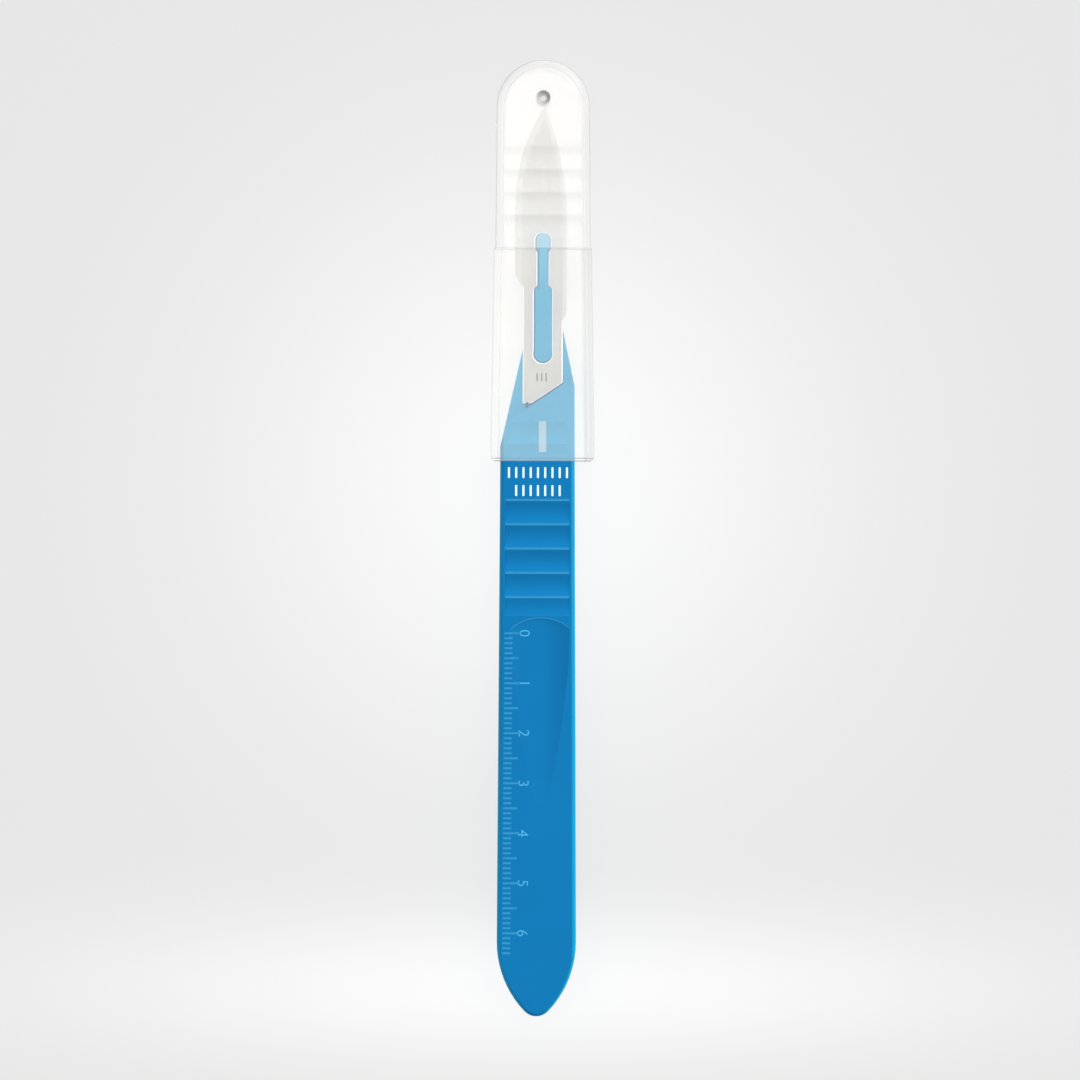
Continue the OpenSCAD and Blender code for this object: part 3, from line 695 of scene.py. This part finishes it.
def flat_numeral(digit, height, middle):
    """A flat numeral of that height whose top points to the right, at its place."""
    bpy.ops.object.select_all(action="DESELECT")
    bpy.ops.object.text_add()
    numeral = bpy.context.object
    numeral.name = f"numeral_{digit}"
    numeral.data.body = str(digit)
    bpy.ops.object.convert(target="MESH")
    numeral = bpy.context.object
    corners = [Vector(corner) for corner in numeral.bound_box]
    low = Vector(map(min, *corners))
    high = Vector(map(max, *corners))
    bpy.ops.object.mode_set(mode="EDIT")
    bpy.ops.mesh.select_all(action="SELECT")
    bpy.ops.transform.translate(value=-(low + high) / 2)
    bpy.ops.object.mode_set(mode="OBJECT")
    scale = height / (high.y - low.y)
    numeral.scale = (scale, scale, scale)
    numeral.rotation_euler.z = -math.pi / 2
    numeral.location = middle
    bpy.ops.object.transform_apply(location=True, rotation=True, scale=True)
    face_up(numeral)
    return numeral


def lay_on(piece, target):
    """A flat piece above the target is laid on its surface, straight down."""
    lay = piece.modifiers.new("lay", "SHRINKWRAP")
    lay.target = target
    lay.wrap_method = "PROJECT"
    lay.use_project_z = True
    lay.use_positive_direction = False
    lay.use_negative_direction = True
    apply_modifiers(piece)


def top_of_marks():
    """Y of the zero mark: the highest of the marks that stand out of the handle's face."""
    raised = FACE_Z + MARK_HEIGHT / 2
    marks = [v.co.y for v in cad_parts["handle"].data.vertices if v.co.z > raised]
    mark_width = 0.3 * MM
    return max(marks) - mark_width / 2


class SCALPEL_OT_handle_finish(bpy.types.Operator):
    """Give the handle its blue moulded plastic"""

    bl_idname = "scalpel.handle_finish"
    bl_label = "Handle finish"

    def execute(self, context):
        give_material(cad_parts["handle"], handle_material(context.scene.scalpel_finish))
        return {"FINISHED"}


class SCALPEL_OT_blade_finish(bpy.types.Operator):
    """Give the blade its ground steel"""

    bl_idname = "scalpel.blade_finish"
    bl_label = "Blade finish"

    def execute(self, context):
        give_material(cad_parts["blade"], steel_material(context.scene.scalpel_finish))
        return {"FINISHED"}


class SCALPEL_OT_guard_finish(bpy.types.Operator):
    """Give the blade guard its milky see-through plastic"""

    bl_idname = "scalpel.guard_finish"
    bl_label = "Guard finish"

    def execute(self, context):
        give_material(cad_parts["blade_guard"], guard_material(context.scene.scalpel_finish))
        return {"FINISHED"}


class SCALPEL_OT_numerals(bpy.types.Operator):
    """Add the raised numerals of the scale, laid on the handle's face"""

    bl_idname = "scalpel.numerals"
    bl_label = "Scale numerals"

    def execute(self, context):
        settings = context.scene.scalpel_numerals
        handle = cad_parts["handle"]
        numerals = []
        for digit in range(settings.last + 1):
            down = digit * settings.pitch
            middle = Vector((
                settings.first_x - down * settings.drift, top_of_marks() - down, FACE_Z + 1 * MM
            ))
            numeral = flat_numeral(digit, settings.height, middle)
            lay_on(numeral, handle)
            thicken(numeral, settings.proud, settings.proud)
            numerals.append(numeral)
        for numeral in numerals:
            numeral.select_set(True)
        bpy.ops.object.join()
        piece = context.object
        piece.name = piece.data.name = "scale_numerals"
        give_material(piece, numeral_material(context.scene.scalpel_finish))
        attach(piece, "scalpel")
        return {"FINISHED"}


class SCALPEL_OT_printed_rows(bpy.types.Operator):
    """Add two rows of plain white bars above the finger scallops"""

    bl_idname = "scalpel.printed_rows"
    bl_label = "Printed rows"

    def execute(self, context):
        settings = context.scene.scalpel_print
        ink = ink_material(context.scene.scalpel_finish)
        rows = {
            "upper_print": (settings.upper_bars, settings.upper_drop),
            "lower_print": (settings.lower_bars, settings.lower_drop),
        }
        for name, (bars, drop) in rows.items():
            middle = Vector((settings.middle_x, MOUTH_Y - drop, FACE_Z))
            row = rounded_bars(
                name, settings.bar_width, settings.bar_height, settings.pitch, bars, middle
            )
            thicken(row, settings.proud, settings.proud)
            give_material(row, ink)
            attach(row, "scalpel")
        return {"FINISHED"}


class SCALPEL_OT_etched_bars(bpy.types.Operator):
    """Add a few plain etched bars on the blade's tang"""

    bl_idname = "scalpel.etched_bars"
    bl_label = "Etched bars"

    def execute(self, context):
        settings = context.scene.scalpel_etch
        middle = Vector((-0.2 * MM, BLADE_LOW.y + settings.rise, BLADE_HIGH.z))
        row = rounded_bars(
            "tang_etching", settings.bar_width, settings.bar_height, settings.pitch,
            settings.bars, middle,
        )
        thicken(row, settings.proud, settings.proud)
        give_material(row, etch_material(context.scene.scalpel_finish))
        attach(row, "scalpel")
        return {"FINISHED"}


def add_floor(settings):
    """Large pale floor under the object."""
    bpy.ops.object.select_all(action="DESELECT")
    bpy.ops.mesh.primitive_plane_add(size=settings.floor_size)
    floor = bpy.context.object
    floor.name = "floor"
    give_material(floor, floor_material(settings))


def add_key(settings):
    """Broad light from the right and the top that throws no hard shadow."""
    bpy.ops.object.select_all(action="DESELECT")
    bpy.ops.object.light_add(type="SUN", location=settings.key_from)
    lamp = bpy.context.object
    lamp.name = "key"
    lamp.data.energy = settings.key_strength
    lamp.data.angle = settings.key_angle
    lamp.data.use_shadow = False
    lamp.rotation_euler = (-Vector(settings.key_from)).to_track_quat("-Z", "Y").to_euler()


def add_surroundings(strength):
    """Even white light from all round."""
    world = bpy.data.worlds.new("surroundings")
    world.use_nodes = True
    world.node_tree.nodes["Background"].inputs["Color"].default_value = (1.0, 1.0, 1.0, 1.0)
    world.node_tree.nodes["Background"].inputs["Strength"].default_value = strength
    bpy.context.scene.world = world


def add_camera(settings):
    """Long lens that looks straight down, with the blade towards the top of the picture."""
    bpy.ops.object.select_all(action="DESELECT")
    place = (settings.aim_x, settings.aim_y, FACE_Z + settings.camera_height)
    bpy.ops.object.camera_add(location=place, rotation=(0.0, 0.0, settings.roll))
    camera = bpy.context.object
    camera.name = "camera"
    camera.data.lens = settings.camera_lens
    camera.data.sensor_width = 36.0
    camera.data.clip_start = 0.01
    bpy.context.scene.camera = camera


class SCALPEL_OT_stage(bpy.types.Operator):
    """Add the pale floor, the soft lights and the camera"""

    bl_idname = "scalpel.stage"
    bl_label = "Stage"

    def execute(self, context):
        settings = context.scene.scalpel_stage
        add_floor(settings)
        add_surroundings(settings.surroundings)
        add_key(settings)
        add_camera(settings)
        context.scene.view_settings.view_transform = "Standard"
        return {"FINISHED"}


class SCALPEL_PT_panel(bpy.types.Panel):
    """Sizes, colours and steps of the scalpel"""

    bl_idname = "SCALPEL_PT_panel"
    bl_label = "Disposable scalpel"
    bl_space_type = "VIEW_3D"
    bl_region_type = "UI"
    bl_category = "Scalpel"

    def draw(self, context):
        for name in SETTINGS:
            settings = getattr(context.scene, name)
            box = self.layout.box()
            for prop in settings.bl_rna.properties:
                if prop.identifier not in {"rna_type", "name"}:
                    box.prop(settings, prop.identifier)
        for operator in OPERATORS:
            self.layout.operator(operator.bl_idname)


SETTINGS = {
    "scalpel_finish": FinishSettings,
    "scalpel_numerals": NumeralSettings,
    "scalpel_print": PrintSettings,
    "scalpel_etch": EtchSettings,
    "scalpel_stage": StageSettings,
}
OPERATORS = [
    SCALPEL_OT_handle_finish,
    SCALPEL_OT_blade_finish,
    SCALPEL_OT_guard_finish,
    SCALPEL_OT_numerals,
    SCALPEL_OT_printed_rows,
    SCALPEL_OT_etched_bars,
    SCALPEL_OT_stage,
]


def register():
    for cls in [*SETTINGS.values(), *OPERATORS, SCALPEL_PT_panel]:
        bpy.utils.register_class(cls)
    for name, group in SETTINGS.items():
        setattr(bpy.types.Scene, name, bpy.props.PointerProperty(type=group))


def unregister():
    for name in SETTINGS:
        delattr(bpy.types.Scene, name)
    for cls in [SCALPEL_PT_panel, *reversed(OPERATORS), *reversed(list(SETTINGS.values()))]:
        bpy.utils.unregister_class(cls)


def main():
    """Builds the dressed scalpel on its stage."""
    register()
    bpy.ops.scalpel.handle_finish()
    bpy.ops.scalpel.blade_finish()
    bpy.ops.scalpel.guard_finish()
    bpy.ops.scalpel.numerals()
    bpy.ops.scalpel.printed_rows()
    bpy.ops.scalpel.etched_bars()
    bpy.ops.scalpel.stage()


if __name__ == "__main__":
    main()
